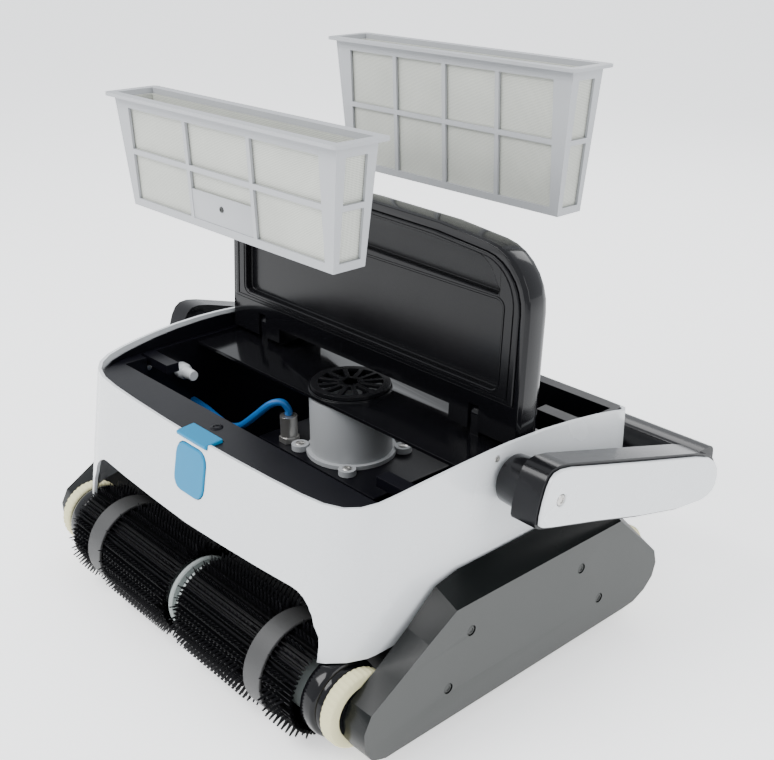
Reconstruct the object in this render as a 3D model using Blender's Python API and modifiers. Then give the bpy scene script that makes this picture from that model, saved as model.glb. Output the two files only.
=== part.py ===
"""Robotic pool cleaner, with its lids open and both filter baskets lifted out.

Metres, +Z up, front of the cleaner towards -Y, origin on the floor under the middle.
Every piece is laid out from the front axle's centre: y counts rearwards from it and
z upwards, and an empty there carries all the pieces.
"""
import math

import bmesh
import bpy
from mathutils import Matrix, Vector

# Driving dimensions
BRUSH_RADIUS = 0.0436
WHEELBASE = 0.288
HANDLE_REAR = 0.3435
GAP = 0.0003

WALL = 0.0025
SHELL_WALL = 0.003
SHELL_HALF_WIDTH = 0.186
SHELL_REAR = 0.287
RIM_HEIGHT = 0.140
RIM_ARCH = 0.017
ARCH_HALF_WIDTH = 0.150
ARCH_TOP = 0.075

COVER_INNER = 0.1883
COVER_OUTER = 0.210
COVER_WALL = 0.0025

TUB_HALF_WIDTH = 0.1772
TUB_FLOOR = -0.0225
LEDGE_HEIGHT = 0.139
BAY_FRONT = 0.0359
BAY_REAR = 0.272
DECK_FRONT = 0.1165
DECK_REAR = 0.205
DECK_TOP = 0.1365
DECK_HALF_WIDTH = TUB_HALF_WIDTH - WALL - GAP

PUMP_Y = 0.152
PUMP_RADIUS = 0.035
BLOCK_TOP = 0.0775
OUTLET_TOP = 0.1412
OUTLET_RADIUS = 0.0335

DRIVE_Y = 0.150
DRIVE_Z = 0.020
PULLEY_SEAT = 0.0102
BELT_THICK = 0.0017

LID_PIVOT = Vector((0, 0.168, 0.1535))
LID_FRONT = -0.010
LID_BACK = 0.016
LID_HALF_WIDTH = 0.1780
LID_TOP = 0.2935
LID_LEAN = math.radians(3)
REAR_LID_PIVOT = Vector((0, 0.2005, 0.1535))
REAR_LID_TOP = 0.231
REAR_LID_HALF_WIDTH = 0.1490
REAR_LID_LEAN = math.radians(-1)

ARM_PIVOT = (0.142, 0.130)
ARM_INNER = 0.2095
ARM_OUTER = 0.2315
PLATE_OUTER = 0.235

FRONT_BASKET = {"y": 0.0500, "rim": 0.3740, "height": 0.086}
REAR_BASKET = {"y": 0.2705, "rim": 0.3976, "height": 0.112}

# A clean scene, one collection for the pieces and one for the cutters
for old in list(bpy.data.objects):
    bpy.data.objects.remove(old, do_unlink=True)
parts = bpy.data.collections.new("pool_cleaner")
cutters = bpy.data.collections.new("cutters")
for collection in (parts, cutters):
    bpy.context.scene.collection.children.link(collection)

datum = bpy.data.objects.new("front_axle_datum", None)
datum.location = (0, -(HANDLE_REAR - BRUSH_RADIUS) / 2, BRUSH_RADIUS)
parts.objects.link(datum)


def make_material(name, colour, roughness, metallic=0.0):
    material = bpy.data.materials.new(name)
    material.use_nodes = True
    shader = material.node_tree.nodes["Principled BSDF"]
    shader.inputs["Base Color"].default_value = (*colour, 1)
    shader.inputs["Roughness"].default_value = roughness
    shader.inputs["Metallic"].default_value = metallic
    return material


SHELL_WHITE = ("shell_white", (0.80, 0.81, 0.82), 0.18)
GLOSS_BLACK = ("gloss_black", (0.012, 0.012, 0.014), 0.14)
TUB_BLACK = ("tub_black", (0.012, 0.012, 0.016), 0.30)
COVER_GREY = ("cover_grey", (0.075, 0.078, 0.085), 0.50)
BRUSH_BLACK = ("brush_black", (0.012, 0.012, 0.013), 0.45)
BAND_GREY = ("band_grey", (0.14, 0.14, 0.14), 0.55)
ROLLER_GREY = ("roller_grey", (0.30, 0.33, 0.31), 0.45)
GRIP_CREAM = ("grip_cream", (0.72, 0.71, 0.53), 0.75)
PUMP_GREY = ("pump_grey", (0.48, 0.49, 0.50), 0.45)
LATCH_BLUE = ("latch_blue", (0.0, 0.46, 0.80), 0.30)
CABLE_BLUE = ("cable_blue", (0.01, 0.28, 0.62), 0.40)
BASKET_GREY = ("basket_grey", (0.52, 0.53, 0.55), 0.40)
MESH_GREY = ("mesh_grey", (0.62, 0.63, 0.62), 0.60)
METAL_GREY = ("metal_grey", (0.55, 0.55, 0.55), 0.30, 1.0)
BELT_BLACK = ("belt_black", (0.015, 0.015, 0.015), 0.65)


def add_piece(name, bm, finish):
    """A named piece with its own material, carried by the datum."""
    bmesh.ops.recalc_face_normals(bm, faces=bm.faces)
    mesh = bpy.data.meshes.new(name)
    bm.to_mesh(mesh)
    bm.free()
    piece = bpy.data.objects.new(name, mesh)
    piece.parent = datum
    parts.objects.link(piece)
    mesh.materials.append(make_material(name + "_" + finish[0], *finish[1:]))
    mesh.shade_smooth()
    mesh.set_sharp_from_angle(angle=math.radians(35))
    return piece


def boolean(piece, bm, label, operation="DIFFERENCE"):
    """Cut a shape from a piece, or join it on."""
    bmesh.ops.recalc_face_normals(bm, faces=bm.faces)
    mesh = bpy.data.meshes.new(label)
    bm.to_mesh(mesh)
    bm.free()
    tool = bpy.data.objects.new(label, mesh)
    tool.parent = datum
    tool.hide_render = True
    tool.display_type = "WIRE"
    cutters.objects.link(tool)
    modifier = piece.modifiers.new(label, "BOOLEAN")
    modifier.operation = operation
    modifier.object = tool
    return piece


def prism(outline, axis, low, high):
    """An outline given in the two other axes, drawn out along one axis."""
    bm = bmesh.new()
    along = "xyz".index(axis)
    others = [i for i in range(3) if i != along]
    corners = []
    for a, b in outline:
        point = [0, 0, 0]
        point[along], point[others[0]], point[others[1]] = low, a, b
        corners.append(bm.verts.new(point))
    face = bm.faces.new(corners)
    drawn = bmesh.ops.extrude_face_region(bm, geom=[face])
    top = [v for v in drawn["geom"] if isinstance(v, bmesh.types.BMVert)]
    step = [0, 0, 0]
    step[along] = high - low
    bmesh.ops.translate(bm, verts=top, vec=step)
    return bm


def box(low, high):
    bm = bmesh.new()
    low, high = Vector(low), Vector(high)
    size = high - low
    place = Matrix.Translation((low + high) / 2) @ Matrix.Diagonal((*size, 1))
    bmesh.ops.create_cube(bm, size=1, matrix=place)
    return bm


def cylinder(axis, centre, radius, low, high, segments=24):
    """A round bar along x, y or z; centre gives the two other coordinates."""
    circle = [(centre[0] + radius * math.cos(math.tau * i / segments),
               centre[1] + radius * math.sin(math.tau * i / segments)) for i in range(segments)]
    return prism(circle, axis, low, high)


def turned_x(profile, y=0.0, z=0.0, segments=24, closed=False):
    """A profile of (x, radius) spun round the X axis through (y, z)."""
    bm = bmesh.new()
    points = [bm.verts.new((x, 0, radius)) for x, radius in profile]
    pairs = list(zip(points, points[1:])) + ([(points[-1], points[0])] if closed else [])
    edges = [bm.edges.new(pair) for pair in pairs]
    bmesh.ops.spin(bm, geom=points + edges, cent=(0, 0, 0), axis=(1, 0, 0),
                   angle=math.tau, steps=segments, use_merge=True)
    bmesh.ops.remove_doubles(bm, verts=bm.verts, dist=1e-6)
    bmesh.ops.translate(bm, verts=bm.verts, vec=(0, y, z))
    return bm


def merge(*shapes):
    """Several separate shapes in one mesh, for a cutter with many bodies."""
    whole = bmesh.new()
    for bm in shapes:
        mesh = bpy.data.meshes.new("shape")
        bmesh.ops.recalc_face_normals(bm, faces=bm.faces)
        bm.to_mesh(mesh)
        bm.free()
        whole.from_mesh(mesh)
        bpy.data.meshes.remove(mesh)
    return whole


def inset(outline, distance):
    """An outline drawn inwards by a distance, for either way round."""
    count = len(outline)
    area = sum(outline[i - 1][0] * outline[i][1] - outline[i][0] * outline[i - 1][1]
               for i in range(count))
    turn = 1 if area > 0 else -1
    result = []
    for i, point in enumerate(outline):
        before = (Vector(point) - Vector(outline[i - 1])).normalized()
        after = (Vector(outline[(i + 1) % count]) - Vector(point)).normalized()
        normal_a = Vector((-before.y, before.x)) * turn
        normal_b = Vector((-after.y, after.x)) * turn
        mitre = (normal_a + normal_b).normalized()
        reach = distance / max(0.3, mitre.dot(normal_a))
        result.append((point[0] + mitre.x * reach, point[1] + mitre.y * reach))
    return result


def arc(centre, radius, start, end, steps):
    """Points on a round stretch, angles in degrees."""
    angles = [math.radians(start + (end - start) * i / steps) for i in range(steps + 1)]
    return [(centre[0] + radius * math.cos(a), centre[1] + radius * math.sin(a)) for a in angles]


def rounded(low, high, radius, steps=4):
    """A rectangle with round corners, between two opposite corners."""
    (x0, y0), (x1, y1) = low, high
    return (arc((x1 - radius, y1 - radius), radius, 0, 90, steps)
            + arc((x0 + radius, y1 - radius), radius, 90, 180, steps)
            + arc((x0 + radius, y0 + radius), radius, 180, 270, steps)
            + arc((x1 - radius, y0 + radius), radius, 270, 360, steps))


def mirrored(outline):
    """An outline made whole from its right half, which starts and ends on x = 0."""
    return outline + [(-x, y) for x, y in reversed(outline) if x > 1e-6]


def flip(bm):
    """The same shape on the other side of the middle plane."""
    bmesh.ops.scale(bm, verts=bm.verts, vec=(-1, 1, 1))
    return bm


SIDES = (("left", flip), ("right", lambda bm: bm))


# Brushes: a roller with two finned sleeves, tie bands, end collars and grip rings
AXLE_RADIUS = 0.0075
AXLE_END = 0.2045
ROLLER_RADIUS = 0.0232
ROLLER_END = 0.1545
SLEEVE_START = 0.0075
FIN_COUNT = 22
BAND_START, BAND_END = 0.1029, 0.1219
BAND_RADIUS = 0.0386


def finned_outline():
    """Thin upright fins round a base tube, one of them straight down."""
    outline = []
    for fin in range(FIN_COUNT):
        middle = -90 + 360 * fin / FIN_COUNT
        for offset, radius in ((-4.5, 0.0275), (-1.5, BRUSH_RADIUS), (1.5, BRUSH_RADIUS), (4.5, 0.0275)):
            angle = math.radians(middle + offset)
            outline.append((radius * math.cos(angle), radius * math.sin(angle)))
    return outline


def add_brush(end, y):
    roller = [(-AXLE_END, 0), (-AXLE_END, AXLE_RADIUS), (-ROLLER_END, AXLE_RADIUS),
              (-ROLLER_END, ROLLER_RADIUS), (ROLLER_END, ROLLER_RADIUS),
              (ROLLER_END, AXLE_RADIUS), (AXLE_END, AXLE_RADIUS), (AXLE_END, 0)]
    add_piece(end + "_brush_roller", turned_x(roller, y, segments=24), ROLLER_GREY)

    bore = AXLE_RADIUS + GAP
    hub = 0.0197
    collar = [(0.1549, bore), (0.1549, 0.0265), (0.1570, 0.0300), (0.1690, 0.0300),
              (0.1754, 0.0262), (0.1758, hub), (0.1878, hub), (0.1878, bore)]
    ring = [(0.1761, hub + GAP), (0.1761, 0.0270), (0.1780, 0.0288), (0.1858, 0.0288),
            (0.1876, 0.0270), (0.1876, hub + GAP)]
    band = [(BAND_START, BAND_RADIUS - 0.0016), (BAND_START, BAND_RADIUS),
            (BAND_END, BAND_RADIUS), (BAND_END, BAND_RADIUS - 0.0016)]
    groove = [(BAND_START - GAP, BAND_RADIUS - 0.0019), (BAND_START - GAP, 0.05),
              (BAND_END + GAP, 0.05), (BAND_END + GAP, BAND_RADIUS - 0.0019)]
    for side, place in SIDES:
        sleeve_shape = prism(finned_outline(), "x", SLEEVE_START, ROLLER_END - GAP)
        bmesh.ops.translate(sleeve_shape, verts=sleeve_shape.verts, vec=(0, y, 0))
        sleeve = add_piece(f"{end}_brush_sleeve_{side}", place(sleeve_shape), BRUSH_BLACK)
        hole = cylinder("x", (y, 0), ROLLER_RADIUS + GAP, 0, 0.16, 24)
        boolean(sleeve, place(hole), f"{end}_{side}_sleeve_bore")
        notch = turned_x(groove, y, segments=28, closed=True)
        boolean(sleeve, place(notch), f"{end}_{side}_band_groove")
        for name, profile, finish in (("tie_band", band, BAND_GREY), ("end_collar", collar, GLOSS_BLACK),
                                      ("grip_ring", ring, GRIP_CREAM)):
            shape = turned_x(profile, y, segments=28 if name == "tie_band" else 22, closed=True)
            add_piece(f"{end}_{name}_{side}", place(shape), finish)


add_brush("front", 0)
add_brush("rear", WHEELBASE)


# Drive: two brush pulleys, the drive pulley on its shaft, the belt and the drive motor
PULLEY_START, PULLEY_END = 0.1915, 0.2035
FLANGE_RADIUS = 0.0124


def pulley_profile(bore):
    return [(PULLEY_START, bore), (PULLEY_START, FLANGE_RADIUS), (PULLEY_START + 0.0016, FLANGE_RADIUS),
            (PULLEY_START + 0.0016, PULLEY_SEAT), (PULLEY_END - 0.0016, PULLEY_SEAT),
            (PULLEY_END - 0.0016, FLANGE_RADIUS), (PULLEY_END, FLANGE_RADIUS), (PULLEY_END, bore)]


for end, y in (("front", 0), ("rear", WHEELBASE)):
    shape = turned_x(pulley_profile(AXLE_RADIUS + GAP), y, segments=24, closed=True)
    add_piece(end + "_brush_pulley", shape, TUB_BLACK)

SHAFT_RADIUS = 0.004
SHAFT_START = 0.0700
drive_profile = ([(SHAFT_START, 0), (SHAFT_START, SHAFT_RADIUS)] + pulley_profile(SHAFT_RADIUS)
                 + [(0.2045, SHAFT_RADIUS), (0.2045, 0)])
add_piece("drive_pulley", turned_x(drive_profile, DRIVE_Y, DRIVE_Z, 24), METAL_GREY)

motor = add_piece("drive_motor", cylinder("x", (DRIVE_Y, DRIVE_Z), 0.017, 0.026, 0.0725), METAL_GREY)
boolean(motor, cylinder("x", (DRIVE_Y, DRIVE_Z), SHAFT_RADIUS + GAP, 0.068, 0.08, 16), "motor_shaft_hole")


def belt_line(radius):
    """The line round the three pulleys at a radius from each pulley's centre."""
    centres = [Vector((0, 0)), Vector((WHEELBASE, 0)), Vector((DRIVE_Y, DRIVE_Z))]
    headings = [math.atan2(*(centres[(i + 1) % 3] - centres[i]).yx) for i in range(3)]
    line = []
    for i, centre in enumerate(centres):
        start = math.degrees(headings[i - 1]) - 90
        end = math.degrees(headings[i]) - 90
        end += 360 if end < start else 0
        steps = max(2, round((end - start) / 15))
        line += arc(centre, radius, start, end, steps)
    return line


belt = add_piece("drive_belt", prism(belt_line(PULLEY_SEAT + GAP + BELT_THICK), "x",
                                     PULLEY_START + 0.0020, PULLEY_END - 0.0020), BELT_BLACK)
boolean(belt, prism(belt_line(PULLEY_SEAT + GAP), "x", 0.19, 0.206), "belt_inside")


# Side covers: hollow mouldings with a sloping top, four screw posts and two axle seats
COVER_OUTLINE = ([(0.002, -0.0268), (-0.010, -0.0225), (-0.0165, -0.012), (-0.0170, 0.003),
                  (-0.0107, 0.0152), (0.0148, 0.0302), (0.0414, 0.0462), (0.068, 0.0615),
                  (0.090, 0.0615), (0.250, 0.0605), (0.3004, 0.0129), (0.304, 0), (0.3004, -0.0117),
                  (0.2906, -0.0205), (0.2766, -0.0261), (0.262, -0.0268)])
COVER_RISE = 0.0140
RISE_STARTS, RISE_FULL = 0.030, 0.086
SCREWS = ((0.0829, 0.0382), (0.061, -0.0002), (0.2034, 0.0371), (0.2288, -0.0009))


def cover_solid(shrink, outer_x):
    """The cover's outline at its outer face, opening out upwards towards the body."""
    outline = inset(COVER_OUTLINE, shrink) if shrink else COVER_OUTLINE
    bm = prism(outline, "x", COVER_INNER - (0.01 if shrink else 0), outer_x)
    for vert in bm.verts:
        share = min(1, max(0, (vert.co.y - RISE_STARTS) / (RISE_FULL - RISE_STARTS)))
        if vert.co.z > 0.02 and vert.co.x < outer_x - 0.001:
            vert.co.z += COVER_RISE * share
    return bm


for side, place in SIDES:
    cover = add_piece("side_cover_" + side, place(cover_solid(0, COVER_OUTER)), COVER_GREY)
    boolean(cover, place(cover_solid(COVER_WALL, COVER_OUTER - COVER_WALL)), side + "_cover_hollow")
    inner_face = COVER_OUTER - COVER_WALL
    posts = [cylinder("x", screw, 0.005, COVER_INNER + 0.0002, inner_face + 0.001, 16) for screw in SCREWS]
    for axle_y in (0, WHEELBASE):
        seat = [(AXLE_END - 0.004 + GAP, AXLE_RADIUS + GAP), (AXLE_END - 0.004 + GAP, 0.0105),
                (inner_face + 0.001, 0.0105), (inner_face + 0.001, AXLE_RADIUS + GAP)]
        seat = [(max(x, PULLEY_END + GAP), r) for x, r in seat]
        posts.append(turned_x(seat, axle_y, segments=24, closed=True))
    boolean(cover, place(merge(*posts)), side + "_cover_posts", "UNION")
    dimples = [cylinder("x", screw, 0.0042, COVER_OUTER - 0.0015, COVER_OUTER + 0.01, 16) for screw in SCREWS]
    boolean(cover, place(merge(*dimples)), side + "_screw_dimples")


# Body shell: rings of the plan outline from the rim down, with a wall inside
PLAN_FRONT = [(0.0, -0.0020), (0.045, -0.0016), (0.090, -0.0004), (0.124, 0.0012), (0.145, 0.0034),
              (0.1610, 0.0082), (0.1715, 0.0160), (0.1778, 0.0270), (0.1808, 0.0420), (0.1828, 0.0600),
              (0.1844, 0.0780), (0.1856, 0.1000), (SHELL_HALF_WIDTH, 0.1250), (SHELL_HALF_WIDTH, 0.1450),
              (SHELL_HALF_WIDTH, 0.1800), (SHELL_HALF_WIDTH, 0.2150), (0.1855, 0.2450),
              (0.1850, 0.2680), (0.1835, 0.2800), (0.1790, SHELL_REAR - 0.0008), (0.1600, SHELL_REAR),
              (0.0, SHELL_REAR)]
SHELL_BOTTOM = 0.0255
SHELL_LEVELS = 5


def rim_height(y):
    """The rim is arched along the sides and level over the front and the rear."""
    rise = RIM_ARCH * math.sin(math.pi * min(1, max(0, (y + 0.004) / 0.286))) ** 0.8
    return RIM_HEIGHT + rise - 0.003 * min(1, max(0, y / SHELL_REAR))


def shell_ring(share):
    """The plan outline at a share of the way down, from the rim at 0 to the bottom at 1."""
    ring = []
    for x, y in mirrored(PLAN_FRONT):
        forward = 0.020 * share * max(0, 1 - max(0, y) / 0.10)
        outward = 1 + 0.006 * share
        top = rim_height(y)
        ring.append((x * outward, y - forward, top + (SHELL_BOTTOM - top) * share))
    return ring


def shell_surface():
    bm = bmesh.new()
    levels = [i / SHELL_LEVELS for i in range(SHELL_LEVELS + 1)]
    first = [bm.verts.new(point) for point in shell_ring(0)]
    edges = [bm.edges.new((first[i - 1], first[i])) for i in range(len(first))]
    for share in levels[1:]:
        drawn = bmesh.ops.extrude_edge_only(bm, edges=edges)
        edges = [e for e in drawn["geom"] if isinstance(e, bmesh.types.BMEdge)]
        new = {v for v in drawn["geom"] if isinstance(v, bmesh.types.BMVert)}
        upper = shell_ring(share - 1 / SHELL_LEVELS)
        lower = shell_ring(share)
        for vert in new:
            nearest = min(range(len(upper)), key=lambda i: (Vector(upper[i]) - vert.co).length)
            vert.co = lower[nearest]
    return bm


shell = add_piece("body_shell", shell_surface(), SHELL_WHITE)
wall = shell.modifiers.new("wall", "SOLIDIFY")
wall.thickness = SHELL_WALL
wall.offset = -1
wall.use_even_offset = True


def arch_outline():
    """The brush opening, wider at the foot of the legs."""
    corner = 0.024
    right = [(0.0, ARCH_TOP - 0.003)] + arc((ARCH_HALF_WIDTH - corner, ARCH_TOP - corner), corner, 90, 10, 5)
    right += [(0.1543, 0.0475), (0.1552, 0.0400), (0.1552, 0.0), (0.0, 0.0)]
    return mirrored(right)


boolean(shell, prism(arch_outline(), "y", -0.08, 0.060), "front_arch")
boolean(shell, prism(arch_outline(), "y", 0.235, 0.34), "rear_arch")
under = [(-0.08, 0.0265), (-0.0155, 0.0265), (-0.0090, 0.0302), (0.0, 0.0316), (0.020, 0.0322),
         (0.045, 0.036), (0.060, 0.045), (0.235, 0.045),
         (0.250, 0.038), (0.34, 0.038), (0.34, -0.05), (-0.08, -0.05)]
boolean(shell, prism(under, "x", -0.25, 0.25), "shell_underside")
BUTTON_LOW, BUTTON_HIGH = (-0.0195, 0.0955), (0.0195, 0.1335)
TAB_HALF_WIDTH = 0.0195
boolean(shell, prism(rounded((BUTTON_LOW[0] - 0.0006, BUTTON_LOW[1] - 0.0006),
                             (BUTTON_HIGH[0] + 0.0006, BUTTON_HIGH[1] + 0.0006), 0.0106),
                     "y", -0.03, 0.02), "button_window")
TAB_WAY = TAB_HALF_WIDTH + 0.0005
boolean(shell, box((-TAB_WAY, -0.03, 0.1368), (TAB_WAY, 0.02, 0.16)), "tab_notch")
pivots = [cylinder("x", ARM_PIVOT, 0.0125, -0.22, -0.15), cylinder("x", ARM_PIVOT, 0.0125, 0.15, 0.22)]
boolean(shell, merge(*pivots), "handle_pivot_holes")


# Inner tub: an open box between the brushes with a ledge round its top
TUB_SIDE = [(0.0334, 0.1385), (0.0334, 0.060), (0.0500, 0.036), (0.0500, TUB_FLOOR),
            (0.2400, TUB_FLOOR), (0.2400, 0.012), (0.2565, 0.036), (0.2745, 0.049), (0.2745, 0.1385)]
LEDGE_THICK = 0.0025
BAY_CORNER_X, BAY_CORNER_Y = 0.1640, 0.0570
ledge_plan = inset(mirrored(PLAN_FRONT), SHELL_WALL + 0.0012)
tub = add_piece("inner_tub", prism(TUB_SIDE, "x", -TUB_HALF_WIDTH, TUB_HALF_WIDTH), TUB_BLACK)
corner_plan = inset(mirrored(PLAN_FRONT), SHELL_WALL + 0.0020)
boolean(tub, prism(corner_plan, "z", TUB_FLOOR - 0.01, LEDGE_HEIGHT + 0.01), "tub_corners", "INTERSECT")
boolean(tub, prism(ledge_plan, "z", LEDGE_HEIGHT - LEDGE_THICK, LEDGE_HEIGHT), "ledge", "UNION")
pivot_bosses = [cylinder("x", ARM_PIVOT, 0.007, TUB_HALF_WIDTH - 0.001, 0.1786, 20),
                cylinder("x", ARM_PIVOT, 0.007, -0.1786, 0.001 - TUB_HALF_WIDTH, 20)]
boolean(tub, merge(*pivot_bosses), "pivot_bosses", "UNION")
hollow_side = inset(TUB_SIDE, WALL)
hollow_side[0], hollow_side[-1] = (BAY_FRONT, 0.16), (BAY_REAR, 0.16)
boolean(tub, prism(hollow_side, "x", -BAY_CORNER_X, BAY_CORNER_X), "tub_hollow")
wide_side = [(BAY_CORNER_Y, 0.16), (BAY_CORNER_Y, TUB_FLOOR + WALL)] + hollow_side[4:]
boolean(tub, prism(wide_side, "x", WALL - TUB_HALF_WIDTH, TUB_HALF_WIDTH - WALL), "tub_hollow_wide")
REST_INNER, REST_OUTER = 0.1360, TUB_HALF_WIDTH - 0.0024
for y0, y1 in ((0.0600, 0.0720), (0.2280, 0.2400)):
    rests = [place(box((REST_INNER, y0, 0.1310), (REST_OUTER, y1, LEDGE_HEIGHT))) for _, place in SIDES]
    boolean(tub, merge(*rests), "basket_rests", "UNION")
holes = [cylinder("x", ARM_PIVOT, 0.0030, -0.19, -0.16, 16),
         cylinder("x", ARM_PIVOT, 0.0030, 0.16, 0.19, 16),
         cylinder("x", (DRIVE_Y, DRIVE_Z), SHAFT_RADIUS + GAP, 0.16, 0.18, 16)]
boolean(tub, merge(*holes), "tub_holes")
INLETS = {"front": (0.0620, 0.0880), "rear": (0.2020, 0.2280)}
INLET_HALF_LENGTH = 0.095
mouths = [box((-INLET_HALF_LENGTH, y0, TUB_FLOOR - 0.01), (INLET_HALF_LENGTH, y1, TUB_FLOOR + 0.01))
          for y0, y1 in INLETS.values()]
boolean(tub, merge(*mouths), "tub_inlets")
boolean(tub, box((-TAB_WAY, -0.01, 0.13), (TAB_WAY, 0.0125, 0.15)), "tab_way")

base_shape = box((-0.170, 0.0525, TUB_FLOOR - 0.0028), (0.170, 0.2375, TUB_FLOOR - GAP))
base = add_piece("base_plate", base_shape, TUB_BLACK)
mouths = [box((-INLET_HALF_LENGTH, y0, -0.04), (INLET_HALF_LENGTH, y1, 0)) for y0, y1 in INLETS.values()]
boolean(base, merge(*mouths), "base_inlets")

FLAP_LOW = TUB_FLOOR + WALL + GAP
for end, (y0, y1) in INLETS.items():
    reach = INLET_HALF_LENGTH + 0.002
    flap = box((-reach, y0 - 0.002, FLAP_LOW), (reach, y1 + 0.002, FLAP_LOW + 0.002))
    add_piece(end + "_inlet_flap", flap, BELT_BLACK)

fitting_profile = [(-DECK_HALF_WIDTH, 0), (-DECK_HALF_WIDTH, 0.0075), (-0.166, 0.0075),
                   (-0.164, 0.0055), (-0.152, 0.0048), (-0.152, 0)]
add_piece("tub_fitting", turned_x(fitting_profile, 0.096, 0.114, 16), SHELL_WHITE)


# Bridge deck with the outlet ring and the hinge lugs of both lids
LUG_START, LUG_END = 0.1280, 0.1370
PIN_RADIUS = 0.0025
deck_shape = box((-DECK_HALF_WIDTH, DECK_FRONT, DECK_TOP - 0.0030), (DECK_HALF_WIDTH, DECK_REAR, DECK_TOP))
deck = add_piece("bridge_deck", deck_shape, GLOSS_BLACK)


def lug(pivot):
    """An upright lug with a round top about a lid's pivot."""
    side = [(pivot.y - 0.0065, DECK_TOP - 0.002)] + arc((pivot.y, pivot.z), 0.0065, 180, 0, 8)
    side += [(pivot.y + 0.0065, DECK_TOP - 0.002)]
    return prism(side, "x", LUG_START, LUG_END)


deck_adds = [cylinder("z", (0, PUMP_Y), OUTLET_RADIUS + 0.0015, DECK_TOP - 0.002, OUTLET_TOP - 0.0033, 32)]
for pivot in (LID_PIVOT, REAR_LID_PIVOT):
    for _, place in SIDES:
        deck_adds.append(place(lug(pivot)))
boolean(deck, merge(*deck_adds), "deck_rises", "UNION")
deck_holes = [cylinder("z", (0, PUMP_Y), OUTLET_RADIUS - 0.0045, 0.12, 0.15, 32)]
for pivot in (LID_PIVOT, REAR_LID_PIVOT):
    for _, place in SIDES:
        deck_holes.append(place(cylinder("x", (pivot.y, pivot.z), PIN_RADIUS + GAP, 0.12, 0.15, 12)))
boolean(deck, merge(*deck_holes), "deck_holes")

SPOKES = 12
disc = cylinder("z", (0, PUMP_Y), OUTLET_RADIUS, OUTLET_TOP - 0.0030, OUTLET_TOP, 32)
grille = add_piece("outlet_grille", disc, GLOSS_BLACK)
slots = []
for i in range(SPOKES):
    middle = 360 * (i + 0.5) / SPOKES
    half = 180 / SPOKES - 4
    wedge = arc((0, PUMP_Y), OUTLET_RADIUS - 0.0060, middle - half, middle + half, 2)
    wedge += arc((0, PUMP_Y), 0.0110, middle + half * 0.5, middle - half * 0.5, 1)
    slots.append(prism(wedge, "z", OUTLET_TOP - 0.01, OUTLET_TOP + 0.01))
boolean(grille, merge(*slots), "grille_slots")


# Pump: block, motor, housing with four ears, impeller on its shaft, gland and cables
block_shape = box((-0.076, 0.110, TUB_FLOOR + WALL + GAP), (0.076, 0.194, BLOCK_TOP))
block = add_piece("motor_block", block_shape, TUB_BLACK)
boolean(block, box((-0.073, 0.113, TUB_FLOOR + 0.006), (0.073, 0.191, BLOCK_TOP - 0.003)), "block_inside")
block_holes = [cylinder("z", (0, PUMP_Y), 0.021, 0.07, 0.09, 24),
               cylinder("x", (DRIVE_Y, DRIVE_Z), SHAFT_RADIUS + GAP, 0.07, 0.08, 16)]
boolean(block, merge(*block_holes), "block_holes")

pump_motor = add_piece("pump_motor", cylinder("z", (0, PUMP_Y), 0.019, 0.038, BLOCK_TOP + 0.004), METAL_GREY)
boolean(pump_motor, cylinder("z", (0, PUMP_Y), 0.0033, 0.07, 0.09, 16), "pump_motor_hole")

EAR_PLACES = [(sx * 0.031, PUMP_Y + sy * 0.031) for sx in (-1, 1) for sy in (-1, 1)]
barrel = cylinder("z", (0, PUMP_Y), PUMP_RADIUS, BLOCK_TOP + GAP, 0.1307, 32)
housing = add_piece("pump_housing", barrel, PUMP_GREY)
flange = cylinder("z", (0, PUMP_Y), PUMP_RADIUS + 0.0035, BLOCK_TOP + GAP, BLOCK_TOP + 0.0040, 32)
boolean(housing, flange, "housing_flange", "UNION")
ears = [cylinder("z", place, 0.0075, BLOCK_TOP + GAP, BLOCK_TOP + 0.0055, 16) for place in EAR_PLACES]
boolean(housing, merge(*ears), "housing_ears", "UNION")
boolean(housing, cylinder("z", (0, PUMP_Y), PUMP_RADIUS - WALL, BLOCK_TOP - 0.01, 0.14, 28), "housing_bore")
boolean(housing, box((-0.0192, PUMP_Y + 0.02, 0.092), (0.0192, PUMP_Y + 0.05, 0.122)), "housing_intake")

impeller = add_piece("impeller", cylinder("z", (0, PUMP_Y), 0.0085, 0.100, 0.122, 24), TUB_BLACK)
blades = []
for i in range(3):
    blade = box((0.004, -0.010, -0.0012), (0.0285, 0.010, 0.0012))
    pitch = Matrix.Rotation(math.radians(35), 4, "X")
    turn = Matrix.Rotation(math.tau * i / 3, 4, "Z")
    place = Matrix.Translation((0, PUMP_Y, 0.111)) @ turn @ pitch
    bmesh.ops.transform(blade, matrix=place, verts=blade.verts)
    boolean(impeller, blade, f"blade_{i}", "UNION")
boolean(impeller, cylinder("z", (0, PUMP_Y), 0.0030, 0.075, 0.105, 16), "impeller_shaft", "UNION")

GLAND = (-0.050, 0.124)
gland = add_piece("cable_gland", cylinder("z", GLAND, 0.0090, BLOCK_TOP + GAP, 0.0830, 6), METAL_GREY)
boolean(gland, cylinder("z", GLAND, 0.0075, 0.0820, 0.1020, 24), "gland_dome", "UNION")


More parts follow.
